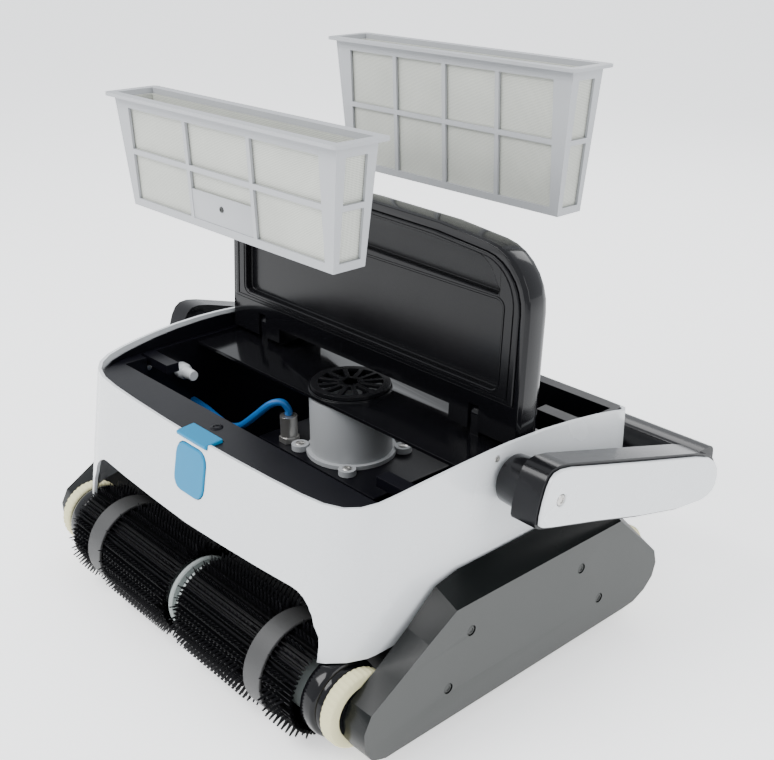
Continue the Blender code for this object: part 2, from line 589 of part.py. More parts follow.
def cable(name, points, radius):
    """A round cable through hand-chosen points, smoothed by a Catmull-Rom curve."""
    points = [Vector(p) for p in points]
    ends = [points[0] * 2 - points[1]] + points + [points[-1] * 2 - points[-2]]
    line = []
    for i in range(1, len(ends) - 2):
        a, b, c, d = ends[i - 1:i + 3]
        for step in range(4):
            t = step / 4
            line.append(0.5 * (2 * b + (c - a) * t + (2 * a - 5 * b + 4 * c - d) * t ** 2
                               + (3 * b - a - 3 * c + d) * t ** 3))
    line.append(points[-1])
    curve = bpy.data.curves.new(name, "CURVE")
    curve.dimensions = "3D"
    curve.bevel_depth = radius
    curve.bevel_resolution = 2
    curve.use_fill_caps = True
    spline = curve.splines.new("POLY")
    spline.points.add(len(line) - 1)
    for target, point in zip(spline.points, line):
        target.co = (*point, 1)
    piece = bpy.data.objects.new(name, curve)
    piece.parent = datum
    parts.objects.link(piece)
    curve.materials.append(make_material(name + "_blue", *CABLE_BLUE[1:]))


CABLE_RADIUS = 0.0034
SOCKET_X = -DECK_HALF_WIDTH
cable("cable_upper", [(-0.0500, 0.1240, 0.1025), (-0.0500, 0.1240, 0.1075), (-0.0540, 0.1205, 0.1135),
                      (-0.0620, 0.1140, 0.1110), (-0.0750, 0.1070, 0.0980), (-0.0900, 0.1025, 0.0850),
                      (-0.1080, 0.1020, 0.0780), (-0.1300, 0.1040, 0.0780), (-0.1500, 0.1060, 0.0795),
                      (SOCKET_X + 0.006, 0.1070, 0.0800), (SOCKET_X, 0.1070, 0.0800)], CABLE_RADIUS)
cable("cable_lower", [(-0.0764, 0.1270, 0.0600), (-0.0810, 0.1270, 0.0600), (-0.0900, 0.1230, 0.0600),
                      (-0.1040, 0.1160, 0.0550), (-0.1250, 0.1140, 0.0510), (-0.1480, 0.1160, 0.0540),
                      (SOCKET_X + 0.006, 0.1180, 0.0560), (SOCKET_X, 0.1180, 0.0560)], CABLE_RADIUS)


# Front lid: glossy outer tray with two hinge legs, and the recessed liner inside it
def lid_plan(half_width, bottom, top, corner, bow):
    """The right half of a lid's outline, from the middle of the bottom to the middle of the top."""
    side_top = top - bow
    return ([(0.0, bottom), (half_width, bottom)]
            + arc((half_width - corner, side_top - corner), corner, 0, 84, 7)
            + [(half_width * 0.5, top - bow * 0.30), (0.0, top)])


def lean(bm, pivot, angle):
    bmesh.ops.rotate(bm, verts=bm.verts, cent=pivot, matrix=Matrix.Rotation(angle, 3, "X"))
    return bm


WINDOW_HALF_WIDTH = 0.107
WINDOW_TOP = 0.1545
LEG_BOTTOM = 0.1405
y_front = LID_PIVOT.y + LID_FRONT
y_back = LID_PIVOT.y + LID_BACK
LID_OUTLINE = mirrored(lid_plan(LID_HALF_WIDTH, LEG_BOTTOM, LID_TOP, 0.046, 0.006))


def lid_body():
    """The tray's outside: a rounded front rim, straight sides and a domed back."""
    bm = prism(LID_OUTLINE, "y", y_front + 0.004, y_back - 0.009)
    middle = (LEG_BOTTOM + LID_TOP) / 2
    for end, rings in ((min, ((y_front + 0.0015, 0.9860),)),
                       (max, ((y_back - 0.002, 0.9850), (y_back + 0.003, 0.9350)))):
        for y, share in rings:
            cap = end(bm.faces, key=lambda face: face.calc_center_median().y)
            drawn = bmesh.ops.extrude_face_region(bm, geom=[cap])
            bmesh.ops.delete(bm, geom=[cap], context="FACES_ONLY")
            for vert in [v for v in drawn["geom"] if isinstance(v, bmesh.types.BMVert)]:
                vert.co.x *= share
                vert.co.z = max(LEG_BOTTOM, middle + (vert.co.z - middle) * share)
                vert.co.y = y
    return bm


lid = add_piece("front_lid_shell", lean(lid_body(), LID_PIVOT, -LID_LEAN), GLOSS_BLACK)
pocket = mirrored(lid_plan(LID_HALF_WIDTH - 0.0070, 0.1720, LID_TOP - 0.0070, 0.039, 0.006))
boolean(lid, lean(prism(pocket, "y", y_front - 0.01, y_back - 0.010), LID_PIVOT, -LID_LEAN), "lid_pocket")
window = box((-WINDOW_HALF_WIDTH, y_front - 0.02, 0.10), (WINDOW_HALF_WIDTH, y_back + 0.02, WINDOW_TOP))
boolean(lid, lean(window, LID_PIVOT, -LID_LEAN), "lid_window")
knuckles = []
for _, place in SIDES:
    slot = box((LUG_START - 0.0004, y_front - 0.02, 0.10),
               (LUG_END + 0.0004, y_back + 0.02, LID_PIVOT.z + 0.0085))
    knuckles.append(place(lean(slot, LID_PIVOT, -LID_LEAN)))
boolean(lid, merge(*knuckles), "lid_knuckle_slots")


def pin_bore(pivot):
    return cylinder("x", (pivot.y, pivot.z), PIN_RADIUS + GAP, 0.1172, 0.1478, 12)


boolean(lid, merge(*[place(pin_bore(LID_PIVOT)) for _, place in SIDES]), "lid_pin_holes")

liner_outline = mirrored(lid_plan(LID_HALF_WIDTH - 0.0074, 0.1724, LID_TOP - 0.0074, 0.0386, 0.006))
liner_shape = lean(prism(liner_outline, "y", y_front, y_back - 0.0104), LID_PIVOT, -LID_LEAN)
liner = add_piece("front_lid_liner", liner_shape, TUB_BLACK)
recess = rounded((-0.155, 0.1800), (0.155, 0.2480), 0.006)
arched = mirrored([(0.0, 0.2550), (0.150, 0.2520), (0.151, 0.2560)]
                  + arc((0.124, 0.2530), 0.0245, 18, 78, 5) + [(0.07, 0.2800), (0.0, 0.2815)])
panels = [lean(prism(outline, "y", y_front - 0.01, y_front + 0.007), LID_PIVOT, -LID_LEAN)
          for outline in (recess, arched)]
boolean(liner, merge(*panels), "liner_panels")

for end, pivot in (("front", LID_PIVOT), ("rear", REAR_LID_PIVOT)):
    for side, place in SIDES:
        pin = cylinder("x", (pivot.y, pivot.z), PIN_RADIUS, 0.1178, 0.1472, 12)
        add_piece(f"{end}_lid_pin_{side}", place(pin), METAL_GREY)


# Rear lid: one moulding, its outside towards the front lid while it stands open
rear_outline = mirrored(lid_plan(REAR_LID_HALF_WIDTH, 0.1440, REAR_LID_TOP, 0.040, 0.003))
rear_low, rear_high = REAR_LID_PIVOT.y - 0.0055, REAR_LID_PIVOT.y + 0.0055


def lean_rear(bm):
    return lean(bm, REAR_LID_PIVOT, -REAR_LID_LEAN)


rear_lid = add_piece("rear_lid", lean_rear(prism(rear_outline, "y", rear_low, rear_high)), GLOSS_BLACK)
hollow = mirrored(lid_plan(REAR_LID_HALF_WIDTH - 0.004, 0.1700, REAR_LID_TOP - 0.004, 0.036, 0.003))
boolean(rear_lid, lean_rear(prism(hollow, "y", rear_low + 0.003, rear_high + 0.01)), "rear_lid_hollow")
rear_slots = [lean_rear(box((-WINDOW_HALF_WIDTH, 0.17, 0.10), (WINDOW_HALF_WIDTH, 0.23, WINDOW_TOP)))]
for _, place in SIDES:
    slot = box((LUG_START - 0.0004, 0.17, 0.10), (LUG_END + 0.0004, 0.23, REAR_LID_PIVOT.z + 0.0085))
    rear_slots.append(place(lean_rear(slot)))
boolean(rear_lid, merge(*rear_slots), "rear_lid_slots")
boolean(rear_lid, merge(*[place(pin_bore(REAR_LID_PIVOT)) for _, place in SIDES]), "rear_lid_pin_holes")


# Latch: the button in the front face and the tab on the rim
FACE_SLOPE = 0.182
button_shape = prism(rounded(BUTTON_LOW, BUTTON_HIGH, 0.0100), "y", -0.0044, 0.0056)
for vert in button_shape.verts:
    vert.co.y -= FACE_SLOPE * (BUTTON_HIGH[1] - vert.co.z)
add_piece("latch_button", button_shape, LATCH_BLUE)
tab_side = [(-0.0045, 0.1373), (-0.0045, 0.1405), (0.0118, 0.1418), (0.0118, 0.1340),
            (0.0050, 0.1340), (0.0050, 0.1373)]
add_piece("latch_tab", prism(tab_side, "x", -TAB_HALF_WIDTH, TAB_HALF_WIDTH), LATCH_BLUE)


# Carrying handle: two arms and a crossbar in one moulding, white plates and pivot screws
ARM_OUTLINE = [(0.1188, 0.1178), (0.1196, 0.1250), (0.1222, 0.1352), (0.1256, 0.1448), (0.1296, 0.1514),
               (0.1345, 0.1548), (0.1420, 0.1555), (0.1530, 0.1535), (0.1830, 0.1445), (0.2450, 0.1262),
               (0.3100, 0.1075), (0.3270, 0.1012), (0.3370, 0.0940), (0.3422, 0.0860), (HANDLE_REAR, 0.0780),
               (0.3420, 0.0700), (0.3375, 0.0642), (0.3300, 0.0612), (0.3200, 0.0605), (0.2900, 0.0648),
               (0.2360, 0.0790), (0.1860, 0.0945), (0.1330, 0.1098), (0.1240, 0.1128), (0.1200, 0.1150)]
BAR_OUTLINE = rounded((0.3180, 0.0780), (HANDLE_REAR - 0.0004, 0.1030), 0.006, 3)
handle = add_piece("carry_handle", prism(ARM_OUTLINE, "x", ARM_INNER, ARM_OUTER), GLOSS_BLACK)
boolean(handle, flip(prism(ARM_OUTLINE, "x", ARM_INNER, ARM_OUTER)), "left_arm", "UNION")
boolean(handle, prism(BAR_OUTLINE, "x", -ARM_OUTER + 0.004, ARM_OUTER - 0.004), "crossbar", "UNION")
for side, place in SIDES:
    neck = [(ARM_INNER + 0.002, 0), (ARM_INNER + 0.002, 0.0200), (0.1905, 0.0185), (0.1890, 0.0165),
            (0.1890, 0.0118), (0.1822, 0.0118), (0.1822, 0)]
    boolean(handle, place(turned_x(neck, *ARM_PIVOT, 32)), side + "_pivot_boss", "UNION")
    boolean(handle, place(cylinder("x", ARM_PIVOT, 0.0030, 0.17, 0.24, 16)), side + "_screw_hole")
    plate_shape = place(prism(inset(ARM_OUTLINE, 0.0022), "x", ARM_OUTER + GAP, PLATE_OUTER))
    plate = add_piece("handle_plate_" + side, plate_shape, SHELL_WHITE)
    boolean(plate, place(cylinder("x", ARM_PIVOT, 0.0046, 0.22, 0.24, 16)), side + "_plate_hole")
    screw = turned_x([(0.1745, 0), (0.1745, 0.0027), (ARM_OUTER + GAP, 0.0027), (ARM_OUTER + GAP, 0.0042),
                      (0.2343, 0.0042), (0.2343, 0)], *ARM_PIVOT, 16)
    add_piece("handle_screw_" + side, place(screw), METAL_GREY)


# Filter baskets: a ribbed frame with a flange, and a mesh liner inside it
FLANGE = (0.1390, 0.0230)
BODY_TOP = (0.1330, 0.0172)
BODY_LOW = (0.1225, 0.0135)


def tapered(top, low, z_top, z_low, y):
    """A box that narrows downwards; top and low are half sizes."""
    bm = box((-1, -1, z_low), (1, 1, z_top))
    for vert in bm.verts:
        half = top if vert.co.z > (z_top + z_low) / 2 else low
        vert.co.x *= half[0]
        vert.co.y = y + vert.co.y * half[1]
    return bm


def grown(half, extra):
    return (half[0] + extra, half[1] + extra)


def add_basket(end, spec, columns):
    y, rim, height = spec["y"], spec["rim"], spec["height"]
    low = rim - height
    outside = tapered(BODY_TOP, BODY_LOW, rim - 0.0004, low, y)
    frame = add_piece(end + "_basket_frame", outside, BASKET_GREY)
    corner = (FLANGE[0], y + FLANGE[1])
    flange = rounded((-FLANGE[0], y - FLANGE[1]), corner, 0.004, 2)
    boolean(frame, prism(flange, "z", rim - 0.0025, rim), end + "_basket_flange", "UNION")
    boolean(frame, tapered(grown(BODY_TOP, -0.002), grown(BODY_LOW, -0.002), rim + 0.001, low + 0.002, y),
            end + "_basket_inside")
    windows = []
    span = 2 * (BODY_LOW[0] - 0.006)
    pitch = span / columns
    middle = low + height * 0.50
    rows = ((low + 0.006, middle - 0.002), (middle + 0.002, rim - 0.010))
    for column in range(columns):
        x = -span / 2 + pitch * column
        for z0, z1 in rows:
            windows.append(box((x + 0.002, y - 0.04, z0), (x + pitch - 0.002, y + 0.04, z1)))
    boolean(frame, merge(*windows), end + "_basket_windows")
    ends = [box((-0.2, y - 0.009, z0), (0.2, y + 0.009, z1)) for z0, z1 in rows]
    boolean(frame, merge(*ends), end + "_basket_end_windows")
    mesh_top, mesh_low = grown(BODY_TOP, -0.0031), grown(BODY_LOW, -0.0024)
    cloth = tapered(mesh_top, mesh_low, rim - 0.004, low + 0.0024, y)
    mesh = add_piece(end + "_basket_mesh", cloth, MESH_GREY)
    inside = tapered(grown(mesh_top, -0.0009), grown(mesh_low, -0.0009), rim + 0.01, low + 0.0033, y)
    boolean(mesh, inside, end + "_mesh_inside")


add_basket("front", FRONT_BASKET, 3)
add_basket("rear", REAR_BASKET, 4)
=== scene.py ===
import bpy
import bmesh
import math
from mathutils import Matrix, Vector


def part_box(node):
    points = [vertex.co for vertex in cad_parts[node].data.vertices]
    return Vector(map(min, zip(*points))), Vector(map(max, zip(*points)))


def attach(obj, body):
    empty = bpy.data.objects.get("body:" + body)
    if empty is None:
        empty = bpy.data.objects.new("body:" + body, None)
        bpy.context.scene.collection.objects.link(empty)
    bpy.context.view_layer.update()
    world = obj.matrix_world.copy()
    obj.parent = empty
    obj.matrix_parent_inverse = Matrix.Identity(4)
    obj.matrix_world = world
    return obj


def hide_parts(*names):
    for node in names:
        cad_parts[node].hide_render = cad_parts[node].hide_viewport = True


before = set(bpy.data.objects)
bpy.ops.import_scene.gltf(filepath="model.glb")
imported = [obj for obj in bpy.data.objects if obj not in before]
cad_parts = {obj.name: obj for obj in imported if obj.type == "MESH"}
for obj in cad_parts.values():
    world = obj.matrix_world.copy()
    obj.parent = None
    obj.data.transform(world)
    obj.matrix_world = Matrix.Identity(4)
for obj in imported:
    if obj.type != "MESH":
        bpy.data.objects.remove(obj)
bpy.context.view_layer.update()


# Floor, soft boxes and camera: a pale sweep under the cleaner, one large light above and in front,
# a weaker one on the right, and a bright surround that the glossy mouldings reflect.
floor_mesh = bmesh.new()
bmesh.ops.create_grid(floor_mesh, x_segments=1, y_segments=1, size=9)
floor_data = bpy.data.meshes.new("floor")
floor_mesh.to_mesh(floor_data)
floor_mesh.free()
floor = bpy.data.objects.new("floor", floor_data)
bpy.context.scene.collection.objects.link(floor)
floor_paint = bpy.data.materials.new("pale_floor")
floor_paint.use_nodes = True
floor_paint.node_tree.nodes["Principled BSDF"].inputs["Base Color"].default_value = (0.95, 0.955, 0.96, 1)
floor_paint.node_tree.nodes["Principled BSDF"].inputs["Roughness"].default_value = 0.55
floor_paint.node_tree.nodes["Principled BSDF"].inputs["Emission Color"].default_value = (1, 1, 1, 1)
floor_paint.node_tree.nodes["Principled BSDF"].inputs["Emission Strength"].default_value = 0.9
floor_data.materials.append(floor_paint)

surround = bpy.data.worlds.new("surround")
bpy.context.scene.world = surround
surround.use_nodes = True
surround.node_tree.nodes["Background"].inputs["Color"].default_value = (0.93, 0.96, 1.0, 1)
surround.node_tree.nodes["Background"].inputs["Strength"].default_value = 1.25


def add_soft_box(name, place, aim, size, watts):
    lamp = bpy.data.lights.new(name, "AREA")
    lamp.shape = "RECTANGLE"
    lamp.size, lamp.size_y = size
    lamp.energy = watts
    lamp_object = bpy.data.objects.new(name, lamp)
    lamp_object.location = place
    lamp_object.rotation_euler = (Vector(aim) - Vector(place)).to_track_quat("-Z", "Y").to_euler()
    bpy.context.scene.collection.objects.link(lamp_object)


add_soft_box("key_light", (-0.55, -1.3, 1.75), (0, 0, 0.15), (1.3, 1.0), 48)
add_soft_box("fill_light", (1.7, 0.35, 1.0), (0, 0, 0.15), (1.0, 1.2), 14)
add_soft_box("back_light", (-0.4, 1.6, 1.3), (0, 0, 0.25), (1.4, 0.7), 12)

camera = bpy.data.cameras.new("camera")
camera.lens = 52.87
camera.sensor_width = 36
camera_object = bpy.data.objects.new("camera", camera)
camera_object.location = (0.6631, -0.55285, 0.5570)
heading = Matrix.Rotation(math.radians(48.0762), 3, "Z")
tilt = Matrix.Rotation(math.radians(90 - 23.2433), 3, "X")
roll = Matrix.Rotation(math.radians(-0.1632), 3, "Z")
camera_object.rotation_euler = (heading @ tilt @ roll).to_euler()
bpy.context.scene.collection.objects.link(camera_object)
bpy.context.scene.camera = camera_object


# Body shell: the white moulding round the whole machine, arched over both brushes. It is injection
# moulded with a gloss outside, a 3 mm wall and rounded edges all along the rim and the arches.
axle_low, axle_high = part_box("front_brush_roller")
AXLE = Vector((0, (axle_low.y + axle_high.y) / 2, (axle_low.z + axle_high.z) / 2))


def build_moulding_surface():
    """Colour drift, gloss drift and the fine skin of a moulded plastic, from Object coordinates."""
    group = bpy.data.node_groups.new("moulding_surface", "ShaderNodeTree")
    sockets = group.interface
    for label in ("Grain Size", "Gloss Drift", "Tone Drift", "Roughness"):
        sockets.new_socket(label, in_out="INPUT", socket_type="NodeSocketFloat")
    sockets.new_socket("Color", in_out="INPUT", socket_type="NodeSocketColor")
    sockets.new_socket("Tinted Color", in_out="OUTPUT", socket_type="NodeSocketColor")
    sockets.new_socket("Surface Roughness", in_out="OUTPUT", socket_type="NodeSocketFloat")
    sockets.new_socket("Grain Height", in_out="OUTPUT", socket_type="NodeSocketFloat")
    nodes, links = group.nodes, group.links
    given, result = nodes.new("NodeGroupInput"), nodes.new("NodeGroupOutput")
    place = nodes.new("ShaderNodeTexCoord")
    grain = nodes.new("ShaderNodeTexNoise")
    grain.inputs["Detail"].default_value = 3
    links.new(place.outputs["Object"], grain.inputs["Vector"])
    links.new(given.outputs["Grain Size"], grain.inputs["Scale"])
    links.new(grain.outputs["Fac"], result.inputs["Grain Height"])
    cloud = nodes.new("ShaderNodeTexNoise")
    cloud.inputs["Scale"].default_value = 22
    cloud.inputs["Detail"].default_value = 5
    links.new(place.outputs["Object"], cloud.inputs["Vector"])
    centred = nodes.new("ShaderNodeMath")
    centred.operation = "SUBTRACT"
    centred.inputs[1].default_value = 0.5
    links.new(cloud.outputs["Fac"], centred.inputs[0])
    drift = nodes.new("ShaderNodeMath")
    drift.operation = "MULTIPLY_ADD"
    links.new(centred.outputs[0], drift.inputs[0])
    links.new(given.outputs["Gloss Drift"], drift.inputs[1])
    links.new(given.outputs["Roughness"], drift.inputs[2])
    links.new(drift.outputs[0], result.inputs["Surface Roughness"])
    tone = nodes.new("ShaderNodeMath")
    tone.operation = "MULTIPLY_ADD"
    links.new(centred.outputs[0], tone.inputs[0])
    links.new(given.outputs["Tone Drift"], tone.inputs[1])
    tone.inputs[2].default_value = 1
    tint = nodes.new("ShaderNodeVectorMath")
    tint.operation = "SCALE"
    links.new(given.outputs["Color"], tint.inputs[0])
    links.new(tone.outputs[0], tint.inputs["Scale"])
    links.new(tint.outputs[0], result.inputs["Tinted Color"])
    return group


moulding_surface = build_moulding_surface()


def moulded(name, color, roughness, grain=900, depth=0.02, gloss_drift=0.08, tone_drift=0.1,
            coat=0.0, metal=0.0, shine=0.5):
    """A moulded or cast finish: its own colour and gloss on the shared moulding surface."""
    finish = bpy.data.materials.new(name)
    finish.use_nodes = True
    nodes, links = finish.node_tree.nodes, finish.node_tree.links
    shader = nodes["Principled BSDF"]
    surface = nodes.new("ShaderNodeGroup")
    surface.node_tree = moulding_surface
    surface.inputs["Color"].default_value = (*color, 1)
    surface.inputs["Roughness"].default_value = roughness
    surface.inputs["Grain Size"].default_value = grain
    surface.inputs["Gloss Drift"].default_value = gloss_drift
    surface.inputs["Tone Drift"].default_value = tone_drift
    links.new(surface.outputs["Tinted Color"], shader.inputs["Base Color"])
    links.new(surface.outputs["Surface Roughness"], shader.inputs["Roughness"])
    bump = nodes.new("ShaderNodeBump")
    bump.inputs["Strength"].default_value = depth
    bump.inputs["Distance"].default_value = 0.0006
    links.new(surface.outputs["Grain Height"], bump.inputs["Height"])
    links.new(bump.outputs["Normal"], shader.inputs["Normal"])
    shader.inputs["Coat Weight"].default_value = coat
    shader.inputs["Coat Roughness"].default_value = 0.06
    shader.inputs["Metallic"].default_value = metal
    shader.inputs["Specular IOR Level"].default_value = shine
    return finish


SHELL_WHITE = moulded("shell_white", (0.70, 0.72, 0.735), 0.27, 500, 0.015, 0.06, 0.04, coat=0.35)


def finish_piece(name, bm, body, material, nodes=(), angle=35, shift=True):
    """Puts a mesh laid out from the front axle in its place, and lets it ride on its body."""
    if shift:
        bmesh.ops.translate(bm, verts=bm.verts, vec=AXLE)
    data = bpy.data.meshes.new(name)
    bm.to_mesh(data)
    bm.free()
    data.shade_smooth()
    data.set_sharp_from_angle(angle=math.radians(angle))
    piece = bpy.data.objects.new(name, data)
    bpy.context.scene.collection.objects.link(piece)
    data.materials.append(material)
    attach(piece, body)
    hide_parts(*nodes)
    return piece


def rounded_copy(node, body, material, radius=0.0006, steps=2, angle=35, sharp=30):
    """The part's own moulding with its edges rounded as a mould leaves them."""
    bm = bmesh.new()
    bm.from_mesh(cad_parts[node].data)
    bmesh.ops.remove_doubles(bm, verts=bm.verts, dist=2e-6)
    bmesh.ops.dissolve_limit(bm, angle_limit=math.radians(0.6), verts=bm.verts, edges=bm.edges)
    for layer in list(bm.loops.layers.uv.values()):
        bm.loops.layers.uv.remove(layer)
    piece = finish_piece(node + "_moulding", bm, body, material, (node,), angle, shift=False)
    edge = piece.modifiers.new("rounded_edges", "BEVEL")
    edge.width = radius
    edge.segments = steps
    edge.limit_method = "ANGLE"
    edge.angle_limit = math.radians(sharp)
    edge.harden_normals = True
    return piece


rounded_copy("body_shell", "hull", SHELL_WHITE, 0.0012, 4, 45, 40)


# Inner tub, base plate and inlet flaps: satin black mouldings inside the shell, which carry the two
# filter bays, the ledge at the front and the drive. The flaps and the belt are rubber, and an upstand
# on the ledge lines the shell's rim.
TUB_BLACK = moulded("tub_black", (0.0035, 0.0035, 0.0055), 0.30, 1100, 0.05, 0.14, 0.3, shine=0.16)
SOFT_BLACK = moulded("belt_black", (0.014, 0.014, 0.014), 0.62, 1400, 0.12, 0.1, 0.3)
METAL_GREY = moulded("metal_grey", (0.52, 0.51, 0.49), 0.34, 1500, 0.05, 0.16, 0.2, metal=0.9)
rounded_copy("inner_tub", "hull", TUB_BLACK, 0.0007)


def add_screw(name, place, towards, radius, body, material, drive=6):
    """A domed screw head with a drive recess, facing along an axis, seated at a point."""
    head = bmesh.new()
    outline = [(0.0, -0.0012), (radius, -0.0012), (radius, 0.0001), (radius * 0.90, 0.0005),
               (radius * 0.55, 0.0008), (0.0, 0.0009)]
    points = [head.verts.new((r, 0, z)) for r, z in outline]
    edges = [head.edges.new(pair) for pair in zip(points, points[1:])]
    bmesh.ops.spin(head, geom=points + edges, cent=(0, 0, 0), axis=(0, 0, 1), angle=math.tau,
                   steps=drive * 6, use_merge=True)
    bmesh.ops.remove_doubles(head, verts=head.verts, dist=1e-6)
    bmesh.ops.recalc_face_normals(head, faces=head.faces)
    crown = [f for f in head.faces if f.calc_center_median().z > 0.0006
             and f.calc_center_median().to_2d().length < radius * 0.42]
    bmesh.ops.inset_region(head, faces=crown, thickness=radius * 0.06, depth=-0.0007)
    turn = Vector((0, 0, 1)).rotation_difference(Vector(towards)).to_matrix()
    bmesh.ops.rotate(head, verts=head.verts, matrix=turn)
    bmesh.ops.translate(head, verts=head.verts, vec=place)
    return finish_piece(name, head, body, material)


SHELL_PLAN = (
    (0.0, -0.0020), (0.045, -0.0016), (0.090, -0.0004), (0.124, 0.0012), (0.145, 0.0034), (0.1610, 0.0082),
    (0.1715, 0.0160), (0.1778, 0.0270), (0.1808, 0.0420), (0.1828, 0.0600), (0.1844, 0.0780),
    (0.1856, 0.1000), (0.1860, 0.1250), (0.1860, 0.1450), (0.1860, 0.1800), (0.1860, 0.2150),
    (0.1855, 0.2450), (0.1850, 0.2680), (0.1835, 0.2800), (0.1790, 0.2862), (0.1600, 0.2870), (0.0, 0.2870))
LEDGE_HEIGHT = 0.139


def add_upstand():
    """The black inner wall that stands on the ledge just inside the white rim, a little lower than it."""
    wall = bmesh.new()
    outline = list(SHELL_PLAN) + [(-x, y) for x, y in reversed(SHELL_PLAN[1:-1])]
    sheet = wall.faces.new([wall.verts.new((x, y, 0)) for x, y in outline])
    bmesh.ops.recalc_face_normals(wall, faces=[sheet])
    bmesh.ops.inset_region(wall, faces=[sheet], thickness=0.0046, use_boundary=True, use_even_offset=True)
    outer = [f for f in wall.faces if f is not sheet]
    bmesh.ops.delete(wall, geom=outer, context="FACES")
    bmesh.ops.inset_region(wall, faces=[sheet], thickness=0.0012, use_boundary=True, use_even_offset=True)
    bmesh.ops.delete(wall, geom=[sheet], context="FACES_ONLY")
    middles = {f: f.calc_center_median() for f in wall.faces}
    latch_gap = [f for f, middle in middles.items() if middle.y < 0.02 and abs(middle.x) < 0.11]
    bmesh.ops.delete(wall, geom=latch_gap, context="FACES")
    drawn = bmesh.ops.extrude_face_region(wall, geom=list(wall.faces))
    crown = {v for v in drawn["geom"] if isinstance(v, bmesh.types.BMVert)}
    for vert in wall.verts:
        run = min(1, max(0, (vert.co.y - 0.010) / 0.272))
        fall = 0.003 * min(1, max(0, vert.co.y / 0.287))
        crest = 0.1368 + 0.017 * math.sin(math.pi * run) ** 0.8 - fall
        vert.co.z = max(crest - LEDGE_HEIGHT, -0.0012) if vert in crown else -0.0020
    bmesh.ops.translate(wall, verts=wall.verts, vec=(0, 0, LEDGE_HEIGHT))
    bmesh.ops.recalc_face_normals(wall, faces=wall.faces)
    finish_piece("tub_upstand", wall, "hull", TUB_BLACK, (), 40)


add_upstand()
add_screw("ledge_screw", (-0.005, 0.0225, 0.1391), (0, 0, 1), 0.0052, "hull", TUB_BLACK)
add_screw("bay_wall_screw", (-0.1738, 0.0640, 0.1250), (1, 0, 0), 0.0028, "hull", METAL_GREY)
rounded_copy("base_plate", "hull", TUB_BLACK)
for end in ("front", "rear"):
    rounded_copy(end + "_inlet_flap", end + "_flap", SOFT_BLACK, 0.0004)
rounded_copy("tub_fitting", "hull", SHELL_WHITE, 0.0008)
rounded_copy("drive_belt", "hull", SOFT_BLACK, 0.0003)


# Bridge deck and outlet grille: the glossy black plate that snaps in between the bays and carries the
# lids' hinge lugs, and the round spoked grille where the pump's water leaves, with a grey star on it.
GLOSS_BLACK = moulded("gloss_black", (0.004, 0.004, 0.005), 0.12, 600, 0.01, 0.1, 0.3, shine=0.24)
rounded_copy("bridge_deck", "hull", GLOSS_BLACK)
GRILLE_BLACK = moulded("grille_black", (0.006, 0.006, 0.007), 0.28, 900, 0.04, 0.1, 0.2, shine=0.2)
HUB_GREY = moulded("hub_grey", (0.20, 0.20, 0.20), 0.35, 900, 0.06, 0.1, 0.15)
PUMP_Y = 0.152
OUTLET_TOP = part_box("outlet_grille")[1].z - AXLE.z
rounded_copy("outlet_grille", "hull", GRILLE_BLACK, 0.0004)


def add_outlet_hub():
    """The star in the middle of the grille: twelve short arms on a low dome."""
    star = bmesh.new()
    rim = []
    for point in range(48):
        reach = (0.0098, 0.0098, 0.0062, 0.0062)[point % 4]
        turn = math.tau * (point - 0.5) / 48
        across, along = reach * math.cos(turn), reach * math.sin(turn)
        rim.append(star.verts.new((across, PUMP_Y + along, OUTLET_TOP - 0.0012)))
    base = star.faces.new(rim)
    bmesh.ops.recalc_face_normals(star, faces=star.faces)
    drawn = bmesh.ops.extrude_face_region(star, geom=[base])
    upper = [v for v in drawn["geom"] if isinstance(v, bmesh.types.BMVert)]
    bmesh.ops.translate(star, verts=upper, vec=(0, 0, 0.0011))
    top = [f for f in drawn["geom"] if isinstance(f, bmesh.types.BMFace)]
    bmesh.ops.inset_region(star, faces=top, thickness=0.0004, depth=0.0001)
    bmesh.ops.recalc_face_normals(star, faces=star.faces)
    finish_piece("outlet_hub", star, "hull", HUB_GREY)


add_outlet_hub()


# Pump group: the black block with the motors, the light grey cast housing screwed down by its four
# ears, the impeller inside it, and the metal cable gland with two blue rubber cables.
PUMP_GREY = moulded("pump_grey", (0.36, 0.37, 0.38), 0.38, 800, 0.04, 0.1, 0.08)
CABLE_BLUE = moulded("cable_blue", (0.002, 0.10, 0.33), 0.42, 1500, 0.06, 0.1, 0.15)
rounded_copy("motor_block", "hull", TUB_BLACK, 0.0012)
rounded_copy("pump_housing", "hull", PUMP_GREY, 0.0008)
BLOCK_TOP = 0.0775
for number, (across, along) in enumerate(((-1, -1), (1, -1), (-1, 1), (1, 1))):
    add_screw(f"ear_screw_{number}", (across * 0.031, PUMP_Y + along * 0.031, BLOCK_TOP + 0.0056), (0, 0, 1),
              0.0042, "hull", METAL_GREY)
rounded_copy("pump_motor", "hull", METAL_GREY)
rounded_copy("drive_motor", "hull", METAL_GREY)
rounded_copy("cable_gland", "hull", METAL_GREY, 0.0012)
rounded_copy("impeller", "impeller", TUB_BLACK, 0.0003)
rounded_copy("drive_pulley", "drive_shaft", METAL_GREY, 0.0003)
for cable in ("cable_upper", "cable_lower"):
    rounded_copy(cable, "hull", CABLE_BLUE, 0.0001, 1, 50)


